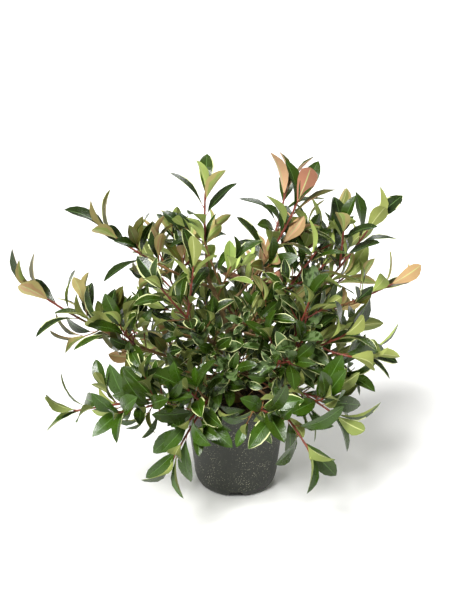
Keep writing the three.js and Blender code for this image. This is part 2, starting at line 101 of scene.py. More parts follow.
def set_inputs(node, inputs):
    """Sets a node's sockets from (socket, value) pairs. Another node stands for the first of its outputs in use."""
    for socket, value in inputs:
        if isinstance(value, bpy.types.Node):
            value = next(output for output in value.outputs if output.enabled)
        if isinstance(value, bpy.types.NodeSocket):
            node.id_data.links.new(value, node.inputs[socket])
        else:
            node.inputs[socket].default_value = value


def add_node(tree, kind, inputs=(), **settings):
    """Adds a node with its settings and its inputs."""
    node = tree.nodes.new(kind)
    for name, value in settings.items():
        setattr(node, name, value)
    set_inputs(node, inputs)
    return node


def new_material(name):
    """An empty material with its shader, and the object's own coordinates in metres."""
    material = bpy.data.materials.new(name)
    material.use_nodes = True
    tree = material.node_tree
    tree.nodes.clear()
    shader = add_node(tree, "ShaderNodeBsdfPrincipled")
    add_node(tree, "ShaderNodeOutputMaterial", [("Surface", shader)])
    return material, tree, shader, add_node(tree, "ShaderNodeTexCoord").outputs["Object"]


def mottle(tree, place, spot, dark, pale, **grain):
    """Spots of a real size, in two colours that run into each other. Returns the pattern and its colour."""
    spots = add_node(tree, "ShaderNodeTexNoise", [("Vector", place), ("Scale", 1 / spot), *grain.items()])
    inputs = [("Factor", spots), ("A", linear(dark)), ("B", linear(pale))]
    return spots, add_node(tree, "ShaderNodeMix", inputs, data_type="RGBA")


def only(piece):
    """Leaves one object selected and active, ready for an operator."""
    bpy.ops.object.select_all(action="DESELECT")
    piece.select_set(True)
    bpy.context.view_layer.objects.active = piece


def apply_modifier(piece, kind, **settings):
    """Adds a modifier with its settings and applies it."""
    only(piece)
    modifier = piece.modifiers.new(kind.title(), kind)
    for name, value in settings.items():
        setattr(modifier, name, value)
    bpy.ops.object.modifier_apply(modifier=modifier.name)


def raise_rings(rings):
    """Extrudes the selected ring of edges through each [radius, height] in turn, from where it is."""
    for (radius, height), (next_radius, next_height) in zip(rings, rings[1:]):
        bpy.ops.mesh.extrude_edges_move(TRANSFORM_OT_translate={"value": (0, 0, next_height - height)})
        share = next_radius / radius
        bpy.ops.transform.resize(value=(share, share, 1), center_override=(0, 0, next_height))


def cut_out(piece, cutter):
    """Cuts one object out of another and removes the cutter."""
    apply_modifier(piece, "BOOLEAN", object=cutter, operation="DIFFERENCE", solver="EXACT")
    bpy.data.objects.remove(cutter)


def pot_wall(inset):
    """The wall from the foot up to the lip, as [radius, height] rings, drawn in by inset for the inside."""
    rings = []
    for step in range(SHOULDER_STEPS + 1):
        turn = pi / 2 * step / SHOULDER_STEPS
        radius = FOOT_RADIUS + (SHOULDER_RADIUS - FOOT_RADIUS) * sin(turn)
        rings.append([radius - inset, SHOULDER_HEIGHT * (1 - cos(turn))])
    top = RIM_RADIUS - LIP_PROUD
    for step in range(1, WALL_STEPS + 1):
        share = step / WALL_STEPS
        radius = SHOULDER_RADIUS + (top - SHOULDER_RADIUS) * share
        rings.append([radius - inset, SHOULDER_HEIGHT + (POT_HEIGHT - LIP_HEIGHT - SHOULDER_HEIGHT) * share])
    return rings


bpy.ops.object.select_all(action="DESELECT")
bpy.ops.mesh.primitive_circle_add(vertices=POT_SIDES, radius=DISC_RADIUS, fill_type="NGON")
pot = bpy.context.object
pot.name = "nursery_pot"
bpy.ops.object.mode_set(mode="EDIT")
bpy.ops.mesh.select_all(action="SELECT")
bpy.ops.mesh.region_to_loop()
mouth = RIM_RADIUS - LIP_PROUD - WALL
raise_rings(
    [
        [DISC_RADIUS, 0],
        [DISC_RADIUS + CHANNEL_DRAFT, CHANNEL_DEPTH],
        [CHANNEL_OUTER - CHANNEL_DRAFT, CHANNEL_DEPTH],
        [CHANNEL_OUTER, 0],
        *pot_wall(0),
        [RIM_RADIUS - 0.4 * MM, POT_HEIGHT - LIP_HEIGHT + 0.8 * MM],
        [RIM_RADIUS, POT_HEIGHT - LIP_HEIGHT + 2 * MM],
        [RIM_RADIUS, POT_HEIGHT - 2 * MM],
        [RIM_RADIUS - 0.7 * MM, POT_HEIGHT - 0.5 * MM],
        [RIM_RADIUS - 1.8 * MM, POT_HEIGHT],
        [mouth + 0.6 * MM, POT_HEIGHT],
        *reversed(pot_wall(WALL)[INSIDE_FROM:]),
        [FOOT_RADIUS - WALL, CHANNEL_DEPTH + FLOOR],
        [DISC_RADIUS, CHANNEL_DEPTH + FLOOR],
        [DISC_RADIUS - CHANNEL_DRAFT, FLOOR],
    ]
)
bpy.ops.mesh.edge_face_add()
bpy.ops.mesh.select_all(action="SELECT")
bpy.ops.mesh.normals_make_consistent(inside=False)
bpy.ops.object.mode_set(mode="OBJECT")

for i in range(NOTCHES):
    bpy.ops.mesh.primitive_cube_add(size=1, location=(0, -NOTCH_MIDDLE, CHANNEL_DEPTH / 2 - 0.5 * MM))
    cutter = bpy.context.object
    cutter.scale = (NOTCH_WIDTH - NOTCH_FLARE, NOTCH_REACH, CHANNEL_DEPTH + 1 * MM)
    bpy.ops.object.transform_apply(location=True, scale=True)
    flared = (NOTCH_WIDTH + NOTCH_FLARE) / (NOTCH_WIDTH - NOTCH_FLARE)
    for corner in cutter.data.vertices:
        if corner.co.z < 0:
            corner.co.x *= flared
    cutter.rotation_euler.z = i * 2 * pi / NOTCHES
    cut_out(pot, cutter)
for i in range(DRAIN_HOLES):
    turn = (i + 0.5) * 2 * pi / DRAIN_HOLES
    middle = (DISC_RADIUS + CHANNEL_OUTER) / 2
    bpy.ops.mesh.primitive_cylinder_add(
        vertices=24,
        radius=DRAIN_RADIUS,
        depth=CHANNEL_DEPTH * 3,
        location=(middle * cos(turn), middle * sin(turn), CHANNEL_DEPTH),
    )
    cut_out(pot, bpy.context.object)
apply_modifier(pot, "BEVEL", width=EDGE_ROUNDING, segments=2, limit_method="ANGLE", angle_limit=EDGE_ANGLE)
bpy.ops.object.shade_smooth_by_angle(angle=SMOOTH_ANGLE)

# Recycled polypropylene, moulded: a dull charcoal with a soft sheen. It has pale flecks of filler that crowd
# together in patches, and faint scuffs that run up and down where pots have been stacked in each other.
FLECK_SPACING = 3.4 * MM
FLECK_PATCH = 30 * MM
SCUFF_WIDTH = 3 * MM
SCUFF_STRETCH = 0.3
GRAIN = 0.6 * MM
GRAIN_DEPTH = 0.1 * MM
plastic, tree, shader, place = new_material("recycled_polypropylene")
flecks = add_node(tree, "ShaderNodeTexVoronoi", [("Vector", place), ("Scale", 1 / FLECK_SPACING), ("Randomness", 1)])
fleck = add_node(
    tree,
    "ShaderNodeMapRange",
    [("Value", flecks), ("From Min", 0.16), ("From Max", 0.26), ("To Min", 1), ("To Max", 0)],
)
patches = add_node(
    tree,
    "ShaderNodeTexNoise",
    [("Vector", place), ("Scale", 1 / FLECK_PATCH), ("Detail", 4), ("Roughness", 0.65)],
)
patch = add_node(tree, "ShaderNodeMapRange", [("Value", patches), ("From Min", 0.38), ("From Max", 0.7)])
drawn_out = add_node(tree, "ShaderNodeMapping", [("Vector", place), ("Scale", (1, 1, SCUFF_STRETCH))])
scuffs = add_node(
    tree,
    "ShaderNodeTexNoise",
    [("Vector", drawn_out), ("Scale", 1 / SCUFF_WIDTH), ("Detail", 5), ("Roughness", 0.7)],
)
scuff = add_node(tree, "ShaderNodeMapRange", [("Value", scuffs), ("From Min", 0.4), ("From Max", 0.72)])
charcoal = add_node(
    tree,
    "ShaderNodeMix",
    [("Factor", scuff), ("A", linear("#1a1d14")), ("B", linear("#292c22"))],
    data_type="RGBA",
)
spotted = add_node(tree, "ShaderNodeMath", [(0, fleck), (1, patch)], operation="MULTIPLY")
flecked = add_node(
    tree,
    "ShaderNodeMix",
    [("Factor", spotted), ("A", charcoal), ("B", linear("#b4b196"))],
    data_type="RGBA",
)
dull = add_node(tree, "ShaderNodeMapRange", [("Value", scuffs), ("To Min", 0.42), ("To Max", 0.62)])
orange_peel = add_node(tree, "ShaderNodeTexNoise", [("Vector", place), ("Scale", 1 / GRAIN), ("Detail", 2)])
relief = add_node(tree, "ShaderNodeBump", [("Strength", 0.25), ("Distance", GRAIN_DEPTH), ("Height", orange_peel)])
set_inputs(shader, [("Base Color", flecked), ("Roughness", dull), ("Normal", relief), ("IOR", 1.49)])
pot.data.materials.append(plastic)
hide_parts("pot")
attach(pot, "root")


# The compost. Moist peat and composted bark, filled to a finger's width under the rim, firmed round the stem and
# settled lower at the edge, with loose chips of bark lying on it.
COMPOST_SIDES = 96
COMPOST_RINGS = 16
COMPOST_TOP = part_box("compost")[1].z
COMPOST_EDGE = COMPOST_TOP - 5 * MM
CLEARANCE = 0.3 * MM
LUMP = 9 * MM
LUMP_HEIGHT = 2.2 * MM
CRUMB = 3 * MM
CRUMB_DEPTH = 1.5 * MM


def seeded(seed):
    """A rule for even random numbers from 0 to 1 that always gives the same ones for a seed."""
    state = seed

    def draw():
        nonlocal state
        state = (state * 1664525 + 1013904223) % 4294967296
        return state / 4294967296

    for _ in range(4):
        draw()
    return draw


inside = [ring for ring in pot_wall(WALL + CLEARANCE)[INSIDE_FROM:] if ring[1] < COMPOST_EDGE]
slope = (RIM_RADIUS - LIP_PROUD - SHOULDER_RADIUS) / (POT_HEIGHT - LIP_HEIGHT - SHOULDER_HEIGHT)
edge_radius = SHOULDER_RADIUS - WALL - CLEARANCE + (COMPOST_EDGE - SHOULDER_HEIGHT) * slope
bpy.ops.object.select_all(action="DESELECT")
brink = (0, 0, COMPOST_EDGE)
bpy.ops.mesh.primitive_circle_add(vertices=COMPOST_SIDES, radius=edge_radius, fill_type="NGON", location=brink)
compost = bpy.context.object
compost.name = "compost_surface"
bpy.ops.object.transform_apply(location=True)
bpy.ops.object.mode_set(mode="EDIT")
bpy.ops.mesh.select_all(action="SELECT")
for _ in range(COMPOST_RINGS):
    bpy.ops.mesh.inset(thickness=edge_radius / (COMPOST_RINGS + 1))
bpy.ops.mesh.select_all(action="SELECT")
bpy.ops.mesh.region_to_loop()
raise_rings(
    [
        [edge_radius, COMPOST_EDGE],
        *reversed(inside),
        [FOOT_RADIUS - WALL - CLEARANCE, CHANNEL_DEPTH + FLOOR + CLEARANCE],
        [DISC_RADIUS, CHANNEL_DEPTH + FLOOR + CLEARANCE],
    ]
)
bpy.ops.mesh.edge_face_add()
bpy.ops.mesh.select_all(action="SELECT")
bpy.ops.mesh.normals_make_consistent(inside=False)
bpy.ops.object.mode_set(mode="OBJECT")


def compost_height(x, y):
    """The compost's surface at a place: a low mound round the stem with lumps on it."""
    from_middle = min(1, hypot(x, y) / edge_radius)
    along, across = x / LUMP, y / LUMP
    lumps = sin(along * 2.1 + sin(across * 1.3)) * sin(across * 1.9 + 1.7 * sin(along))
    calm = min(1, (1 - from_middle) * 8) * min(1, from_middle * 4)
    return COMPOST_TOP - (COMPOST_TOP - COMPOST_EDGE) * from_middle**1.5 + lumps * calm * LUMP_HEIGHT / 2


for point in compost.data.vertices:
    if point.co.z > COMPOST_EDGE - MM / 10:
        point.co.z = compost_height(point.co.x, point.co.y)
bpy.ops.object.shade_smooth()

# Peat and composted bark: near black where it is wet, with brown fibres, rough all over and with no shine.
peat, tree, shader, place = new_material("moist_peat")
crumbs, brown = mottle(tree, place, CRUMB, "#17110c", "#4a3829", Detail=8, Roughness=0.75)
relief = add_node(tree, "ShaderNodeBump", [("Strength", 0.9), ("Distance", CRUMB_DEPTH), ("Height", crumbs)])
set_inputs(shader, [("Base Color", brown), ("Normal", relief), ("Roughness", 0.92)])
compost.data.materials.append(peat)
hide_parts("compost")
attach(compost, "root")

# The loose chips: a bent sliver with chamfered ends, copied and turned at random over the surface, clear of the
# trunk.
CHIPS = 420
CHIP_LENGTH = 9 * MM
CHIP_STREAK = 5 * MM
CLEAR_OF_TRUNK = 12 * MM
CHIP = np.array(
    [[-1, -0.3, 0], [-0.8, 0.32, 0], [0.9, 0.36, 0], [1, -0.26, 0], [-0.9, -0.2, 0.3], [-0.75, 0.2, 0.34],
     [0.8, 0.25, 0.2], [0.9, -0.18, 0.26], [0, -0.34, 0.12], [0, 0.34, 0.14], [0, 0.25, 0.46], [0, -0.2, 0.44]]
)
CHIP_FACES = [(0, 1, 9, 8), (8, 9, 2, 3), (4, 11, 10, 5), (11, 7, 6, 10), (0, 8, 11, 4), (8, 3, 7, 11),
              (1, 5, 10, 9), (9, 10, 6, 2), (0, 4, 5, 1), (3, 2, 6, 7)]
draw = seeded(5)
points, faces = [], []
for _ in range(CHIPS):
    away = (edge_radius - CHIP_LENGTH) * sqrt(draw())
    turn, heading, tilt = 2 * pi * draw(), 2 * pi * draw(), 0.5 * (draw() - 0.5)
    size = CHIP_LENGTH / 2 * (0.35 + 0.65 * draw())
    x, y = away * cos(turn), away * sin(turn)
    if hypot(x, y) < CLEAR_OF_TRUNK:
        continue
    ahead = np.array([cos(heading) * cos(tilt), sin(heading) * cos(tilt), sin(tilt)])
    beside = np.array([-sin(heading), cos(heading), 0])
    centre = np.array([x, y, compost_height(x, y) + CLEARANCE])
    chip = centre + size * (CHIP[:, :1] * ahead + CHIP[:, 1:2] * beside + CHIP[:, 2:] * np.cross(ahead, beside))
    faces += [tuple(i + len(points) for i in face) for face in CHIP_FACES]
    points += chip.tolist()


def piece_from(name, points, faces, materials, slots=None, smooth=True):
    """One object from joined points and faces, with a material slot for each face."""
    mesh = bpy.data.meshes.new(name)
    mesh.from_pydata(points, [], faces)
    for material in materials:
        mesh.materials.append(material)
    if slots is not None:
        mesh.polygons.foreach_set("material_index", slots)
    mesh.polygons.foreach_set("use_smooth", [smooth] * len(mesh.polygons))
    mesh.update()
    piece = bpy.data.objects.new(name, mesh)
    bpy.context.collection.objects.link(piece)
    return piece


# Composted bark chips: brown outside, paler where they broke, dull.
chip_bark, tree, shader, place = new_material("composted_bark")
_, brown = mottle(tree, place, CHIP_STREAK, "#2a1c13", "#6e5138", Detail=5)
set_inputs(shader, [("Base Color", brown), ("Roughness", 0.85)])
chips = piece_from("bark_chips", points, faces, [chip_bark], smooth=False)
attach(chips, "root")


# The trunk and the boughs. One short stem leans out of the compost and forks. Each bough is brown wood that grew
# out of it, with a swollen collar where it leaves its parent and knuckles where its old leaves fell.
TRUNK_FOOT = (2, 0, 163.3)
TRUNK_MIDDLE = (2, 0, 285)
TRUNK_FORK = (-49, 0, 399)
TRUNK_RADII = (6.2, 3.9)
ROOT_FLARE = 3
FLARE_LENGTH = 0.06
FORK_GAP = 0.3
CHORDS = 24
SHOOT_TIP_RADIUS = 1.6
SHOOT_TAPER = 0.0046
COLLAR = 0.45
COLLAR_LENGTH = 16
KNUCKLE_SPACING = 19
KNUCKLE = 0.13
WOOD_STEP = 4
REFERENCE = np.array([0.2, 0.95, 0.24])

# The shoots, in millimetres. Each leaves its parent limb at a share of that limb's length. tip is where its stem
# ends, and bow is how far its curve is pulled off the straight line. bare is the share with no leaves of full size,
# which is its bough. twigs and finer are how many side shoots of each kind it bears, leaf is the length of its
# leaves, lift is how far they turn up to the light, and look is their colouring.
Shoot = namedtuple("Shoot", "parent at tip bow bare twigs leaf lift finer look")
SHOOTS = {
    "leader_middle": ("trunk", 1, (-54, 20, 551), (-6, 0, 0), 0.3, 0, 84, 0.1, 1, "pale"),
    "leader_left": ("trunk", 0.93, (-225, -10, 492), (0, 0, -22), 0.34, 0, 80, 0.3, 4, "tan"),
    "leader_right": ("trunk", 0.74, (104, 0, 538), (14, 0, -26), 0.4, 0, 88, 0.3, 3, "blush"),
    "leader_back": ("trunk", 0.54, (89, 90, 535), (22, 0, -12), 0.5, 0, 90, 0.1, 5, "blush"),
    "left_front": ("trunk", 0.31, (-128, -90, 416), (0, 0, -14), 0.5, 1, 76, 0.22, 8, "leafy"),
    "far_left": ("trunk", 0.25, (-342, -70, 402), (0, -20, -46), 0.56, 0, 88, 0.4, 10, "tan"),
    "low_left": ("trunk", 0.09, (-277, -130, 206), (0, -60, 34), 0.5, 1, 80, 0.33, 10, "green"),
    "front_left": ("trunk", 0.13, (-81, -150, 197), (0, 0, 26), 0.62, 1, 82, 0, 8, "green"),
    "front": ("trunk", 0.07, (48, -190, 234), (0, -10, -2), 0.72, 0, 82, 0.1, 3, "green"),
    "front_right": ("trunk", 0.16, (118, -190, 167), (0, -6, 56), 0.55, 0, 84, 0.1, 6, "green"),
    "low_right": ("trunk", 0.2, (169, -130, 198), (0, 0, 36), 0.5, 2, 90, 0.2, 9, "green"),
    "right": ("trunk", 0.28, (183, -80, 324), (0, 0, -18), 0.52, 2, 82, 0.2, 9, "leafy"),
    "right_low": ("trunk", 0.22, (237, 0, 254), (0, 10, -6), 0.46, 1, 82, 0.15, 10, "leafy"),
    "far_right": ("trunk", 0.36, (239, 50, 482), (0, 0, -66), 0.52, 2, 84, 0.4, 6, "olive"),
    "right_up": ("far_right", 0.42, (280, 40, 375), (0, 0, -16), 0.62, 0, 70, 0.4, 4, "tan"),
    "right_back": ("leader_back", 0.36, (175, 80, 479), (10, 0, -12), 0.4, 1, 80, 0.2, 5, "olive"),
    "right_middle": ("trunk", 0.42, (139, -20, 459), (0, -16, -10), 0.48, 1, 78, 0.15, 6, "olive"),
    # The shoots at the back have their leaves' undersides darkened as painted shade.
    "back_left": ("trunk", 0.47, (-154, 190, 346), (0, 0, -10), 0.4, 2, 76, 0.2, 10, "shaded"),
    "back_middle": ("trunk", 0.39, (9, 220, 325), (0, 0, -10), 0.36, 2, 80, 0.2, 10, "shaded"),
    "back_right": ("trunk", 0.33, (209, 190, 389), (0, 0, -30), 0.44, 2, 80, 0.2, 7, "shaded"),
    "back_low_left": ("trunk", 0.15, (-204, 190, 224), (0, 0, -10), 0.44, 2, 78, 0.3, 10, "shaded"),
    "back_low_right": ("trunk", 0.18, (214, 180, 228), (0, 0, -8), 0.44, 1, 80, 0.3, 10, "shaded"),
    "left_inner": ("leader_left", 0.26, (-104, 70, 456), (0, 10, 0), 0, 1, 72, 0.1, 6, "pale"),
    "left_middle": ("far_left", 0.5, (-196, -100, 348), (0, -8, -6), 0, 1, 76, 0.2, 6, "leafy"),
    "low_left_inner": ("low_left", 0.42, (-150, -165, 232), (0, 0, -6), 0, 0, 80, 0.4, 6, "green"),
    "droop_left": ("front_left", 0.55, (-104, -190, 152), (0, 0, 10), 0, 0, 86, -0.1, 2, "green"),
    "right_inner": ("right", 0.36, (97, -126, 296), (0, -6, 0), 0, 1, 68, 0.2, 6, "marbled"),
    "right_front": ("right", 0.46, (123, -76, 385), (6, 0, 0), 0, 1, 74, 0.2, 6, "marbled"),
    "back_low_middle": ("trunk", 0.11, (8, 215, 226), (0, 0, 6), 0, 1, 78, 0.2, 10, "shaded"),
    "inner_front": ("trunk", 0.24, (-8, -96, 268), (0, 0, 0), 0, 1, 58, 0.1, 8, "marbled"),
    "inner_left": ("trunk", 0.44, (-92, -58, 318), (0, 0, 0), 0, 1, 58, 0.1, 8, "marbled"),
    "inner_right": ("trunk", 0.58, (52, -66, 352), (0, 0, 0), 0, 1, 58, 0.1, 8, "marbled"),
    "inner_top": ("trunk", 0.84, (-6, -20, 438), (0, 0, 0), 0, 1, 64, 0.1, 2, "lime"),
    "inner_low": ("trunk", 0.17, (-88, -70, 252), (0, 0, 0), 0, 1, 60, 0.1, 8, "marbled"),
}
shoots = {name: Shoot(*row) for name, row in SHOOTS.items()}


def unit(vector):
    return vector / np.linalg.norm(vector)


class Limb:
    """A limb along a parabola, from start to tip, in millimetres. It tapers evenly but for a flare at its foot."""

    def __init__(self, start, middle, tip, radii, flare=0):
        self.start, self.middle, self.tip = (np.array(place, float) for place in (start, middle, tip))
        self.radii, self.flare = list(radii), flare
        ends = [self.point(i / CHORDS) for i in range(CHORDS + 1)]
        self.length = sum(np.linalg.norm(b - a) for a, b in zip(ends, ends[1:]))

    def point(self, t):
        return self.start * (1 - t) ** 2 + self.middle * 2 * t * (1 - t) + self.tip * t**2

    def radius(self, t):
        taper = self.radii[0] + (self.radii[1] - self.radii[0]) * t
        return taper + self.flare * max(0, 1 - t / FLARE_LENGTH) ** 2

    def frame(self, t):
        """The directions along the limb and across it."""
        along = unit((self.middle - self.start) * (1 - t) + (self.tip - self.middle) * t)
        across = unit(np.cross(along, unit(REFERENCE)))
        return along, across, np.cross(across, along)


limbs = {"trunk": Limb(TRUNK_FOOT, TRUNK_MIDDLE, TRUNK_FORK, TRUNK_RADII, ROOT_FLARE)}
for name, shoot in shoots.items():
    parent = limbs[shoot.parent]
    start = parent.point(shoot.at)
    if shoot.at == 1:
        start = start + parent.frame(1)[0] * FORK_GAP
    limb = Limb(start, (start + shoot.tip) / 2 + shoot.bow, shoot.tip, (0, SHOOT_TIP_RADIUS))
    limb.radii[0] = SHOOT_TIP_RADIUS + limb.length * SHOOT_TAPER
    limbs[name] = limb


def wood(name, limb, share, collar, sides):
    """The first share of a limb as a mesh: a curve with its taper, its collar and its knuckles, swept round."""
    bpy.ops.object.select_all(action="DESELECT")
    bpy.ops.curve.primitive_bezier_curve_add()
    rod = bpy.context.object
    rod.name = name
    bend = limb.start + (limb.middle - limb.start) * share
    end = limb.point(share)
    first, last = rod.data.splines[0].bezier_points
    for knot in (first, last):
        knot.handle_left_type = knot.handle_right_type = "FREE"
    first.co, first.handle_right = limb.start * MM, (limb.start + (bend - limb.start) * 2 / 3) * MM
    last.co, last.handle_left = end * MM, (end + (bend - end) * 2 / 3) * MM
    first.handle_left = (limb.start * 2 - bend) * MM
    last.handle_right = (end * 2 - bend) * MM
    cuts = max(8, round(limb.length * share / WOOD_STEP))
    bpy.ops.object.mode_set(mode="EDIT")
    bpy.ops.curve.select_all(action="SELECT")
    bpy.ops.curve.subdivide(number_cuts=cuts - 1)
    bpy.ops.object.mode_set(mode="OBJECT")
    for i, knot in enumerate(rod.data.splines[0].bezier_points):
        t = share * i / cuts
        gone = limb.length * t
        swell = 1 + collar * max(0, 1 - gone / COLLAR_LENGTH) ** 2
        swell += KNUCKLE * max(0, cos(2 * pi * gone / KNUCKLE_SPACING)) ** 8
        knot.radius = limb.radius(t) * swell
    rod.data.bevel_depth = MM
    rod.data.bevel_resolution = sides
    rod.data.resolution_u = 2
    rod.data.use_fill_caps = True
    bpy.ops.object.convert(target="MESH")
    return bpy.context.object


# Fissured bark on the trunk and smoother bark on the boughs: a fine relief pushed out of the swept wood.
FISSURE = 3.5 * MM
TRUNK_RELIEF = 1.5 * MM
BOUGH_RELIEF = 0.7 * MM
fissures = bpy.data.textures.new("fissures", "CLOUDS")
fissures.noise_scale = FISSURE
fissures.noise_depth = 3
bark = wood("trunk_and_boughs", limbs["trunk"], 1, 0, 5)
boughs = [name for name, shoot in shoots.items() if shoot.bare > 0]
rods = [wood(name, limbs[name], shoots[name].bare, COLLAR, 3) for name in boughs]
for rod in (bark, *rods):
    depth = TRUNK_RELIEF if rod is bark else BOUGH_RELIEF
    apply_modifier(rod, "DISPLACE", texture=fissures, strength=depth, mid_level=0.5, texture_coords="LOCAL")
only(bark)
for rod in rods:
    rod.select_set(True)
bpy.ops.object.join()
bpy.ops.object.transform_apply(location=True, rotation=True, scale=True)
bpy.ops.object.shade_smooth()

# Living bark: grey-brown and finely cracked on the old wood in the middle of the plant, and a warmer brown out
# along the boughs. It has no shine.
OLD_WOOD_MIDDLE = (-0.02, 0, 0.3)
OLD_WOOD_REACH = 70 * MM
YOUNG_WOOD_FROM = 200 * MM
CRACK = 4 * MM
CRACK_DEPTH = 0.5 * MM
woody, tree, shader, place = new_material("living_bark")
from_middle = add_node(tree, "ShaderNodeVectorMath", [(0, place), (1, OLD_WOOD_MIDDLE)], operation="DISTANCE")
young = add_node(
    tree,
    "ShaderNodeMapRange",
    [("Value", from_middle), ("From Min", OLD_WOOD_REACH), ("From Max", YOUNG_WOOD_FROM)],
)
cracks, grey_brown = mottle(tree, place, CRACK, "#3f331f", "#a3865a", Detail=6, Roughness=0.7)
_, warm_brown = mottle(tree, place, CRACK, "#4f331c", "#9a6c40", Detail=6, Roughness=0.7)
aged = add_node(tree, "ShaderNodeMix", [("Factor", young), ("A", grey_brown), ("B", warm_brown)], data_type="RGBA")
relief = add_node(tree, "ShaderNodeBump", [("Strength", 0.6), ("Distance", CRACK_DEPTH), ("Height", cracks)])
set_inputs(shader, [("Base Color", aged), ("Normal", relief), ("Roughness", 0.8)])
bark.data.materials.clear()
bark.data.materials.append(woody)
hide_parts("trunk", *(f"bough_{name}" for name in boughs))
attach(bark, "root")


# The stems and twigs. The leafy end of each shoot, its side twigs, and the finer twigs that fill it: thin, round
# and red while they are young, and brown further in. Each one grows only where there is room for it.
STEM_STEP = 34
TWIG_RADII = (1.9, 1.5)
TWIG_LENGTH = 62
TWIG_SPREAD = 48
TWIG_LIFT = 0.18
TWIG_PLACES = (0.35, 0.3)
TWIG_SIZES = (0.8, 0.5)
TWIG_ROOT = 0.08
TWIG_TRIES = 7
TWIG_TRY_TURN = 50
FINE_RADII = (1.3, 0.9)
FINE_LENGTH = 36
FINE_SPREAD = 58
FINE_TRIES = 8
FINE_STRETCH = (0.2, 0.8, 0.6)
JOINT_SHARE = 0.04
LIMB_SWELL = 1.25
LEAF_CLEARANCE = 0.5
FLOOR_CLEARANCE = 8
POT_CLEARANCE = 3
MOST_OBSTACLES = 8000
EDGE_SAMPLES = 5
STEM_SIDES = 7
STEM_RING_STEP = 9
STEM_KNUCKLE = 0.16
UP = np.array([0, 0, 1.0])

# All that a later leaf or twig must stay clear of: the box, the surface and the owner of each thing that has grown.
boxes = np.zeros((MOST_OBSTACLES, 2, 3))
surfaces = []
owners = []
PRISM_FACES = [(0, 1, 4), (0, 4, 3), (1, 2, 5), (1, 5, 4), (2, 0, 3), (2, 3, 5)]


def vary(draw, least, spread):
    """A number drawn evenly from least up to least plus spread."""
    return least + spread * draw()


def remember(points, faces, owner):
    boxes[len(surfaces)] = points.min(axis=0), points.max(axis=0)
    surfaces.append(BVHTree.FromPolygons(points.tolist(), faces))
    owners.append(owner)


def is_clear(points, faces, owner):
    """True if a thing is clear of the pot, the floor and all that has grown but for its owner's own parts."""
    edges = np.array(sorted({tuple(sorted((face[i], face[i - 1]))) for face in faces for i in range(len(face))}))
    shares = np.linspace(0, 1, EDGE_SAMPLES)[:, None, None]
    samples = (points[edges[:, 0]] * (1 - shares) + points[edges[:, 1]] * shares).reshape(-1, 3)
    over_pot = np.hypot(samples[:, 0], samples[:, 1]) * MM < RIM_RADIUS + POT_CLEARANCE * MM
    lowest = np.where(over_pot, POT_HEIGHT / MM + POT_CLEARANCE, FLOOR_CLEARANCE)
    if (samples[:, 2] <= lowest).any():
        return False
    grown = boxes[: len(surfaces)]
    near = (grown[:, 0] <= points.max(axis=0)).all(axis=1) & (grown[:, 1] >= points.min(axis=0)).all(axis=1)
    surface = BVHTree.FromPolygons(points.tolist(), faces)
    return not any(owners[i] is not owner and surface.overlap(surfaces[i]) for i in np.flatnonzero(near))


def stretches(limb, start, end):
    """A limb's length as straight three-sided stretches that are fatter than it by the leaf clearance."""
    count = max(1, int(limb.length * (end - start) / STEM_STEP + 0.5))
    rings = []
    for i in range(count + 1):
        t = start + (end - start) * i / count
        _, across, over = limb.frame(t)
        reach = limb.radius(t) * LIMB_SWELL + LEAF_CLEARANCE
        turns = [2 * pi * side / 3 for side in range(3)]
        rings.append([limb.point(t) + reach * (cos(turn) * across + sin(turn) * over) for turn in turns])
    return [np.array(low + high) for low, high in zip(rings, rings[1:])]


def twigs_of(stem, count, stretch, draw, length, radii, spread, tries, sweep=180):
    """The side shoots on a stretch of a stem, which lean out and lift towards the light, each where there is room."""
    roll = 360 * draw()
    twigs = []
    start, end, spare = stretch
    for i in range(count):
        t = start + (end - start) * ((i + TWIG_PLACES[0] + TWIG_PLACES[1] * draw()) / (count + spare))
        long = length * vary(draw, *TWIG_SIZES)
        along, across, over = stem.frame(t)
        for attempt in range(tries):
            turn = radians(roll + sweep * i + TWIG_TRY_TURN * attempt)
            out = across * cos(turn) + over * sin(turn)
            heading = along * cos(radians(spread)) + out * sin(radians(spread))
            foot = stem.point(t)
            tip = foot + heading * long + UP * long * TWIG_LIFT
            twig = Limb(foot, foot + heading * long / 2, tip, radii)
            parts = stretches(twig, TWIG_ROOT, 1)
            if all(is_clear(part, PRISM_FACES, stem) for part in parts):
                for part in parts:
                    remember(part, PRISM_FACES, twig)
                twigs.append(twig)
                break
    return twigs


# The leaves. Each has a leathery blade, widest past its middle, folded up along the midrib and bent back at its
# pointed tip, on a short red stalk. They turn round their twig by the golden angle, and stand small at its tip.
GOLDEN_ANGLE = 137.5
LEAF_SHARE_WIDE = 0.34
WIDEST_AT = 0.56
THICKEST_AT = 0.3
LEAF_THICKNESS = 0.022
FOLD = 0.14
ROOT_DEPTH = 0.5
NODE_FIRST = 3
NODE_SPACING = 6
NODE_STRETCH = 3
NODE_SPACING_MAX = 28
LEAF_SIZES = (0.88, 0.24)
LEAF_BARE = 0.1
WIDTH_SPREAD = 0.06
RECURVES = (0.04, 0.08)
FLAT_STEP = 0.12
FLAT_MAX = 0.85
FLATNESS = (0.6, 0.4)
TIP_SIZE = 0.85
TIP_ANGLE = 14
ANGLE_STEP = 9
ANGLE_MAX = 66
ANGLE_SPREAD = 12
LEAF_TRIES = 6
TRY_TURN = 29
FINE_LEAF = 0.72
BUD_LEAVES = 3
BUD_LEAF = 0.34
BUD_SIZES = (0.7, 0.6)
BUD_SLANTS = (7, 9)
YOUNG_RANKS = 4
OLD_RANKS = 7
ROOM_FACES = [(0, 2, 4), (2, 3, 4), (3, 1, 4), (1, 0, 4), (2, 0, 5), (3, 2, 5), (1, 3, 5), (0, 1, 5)]


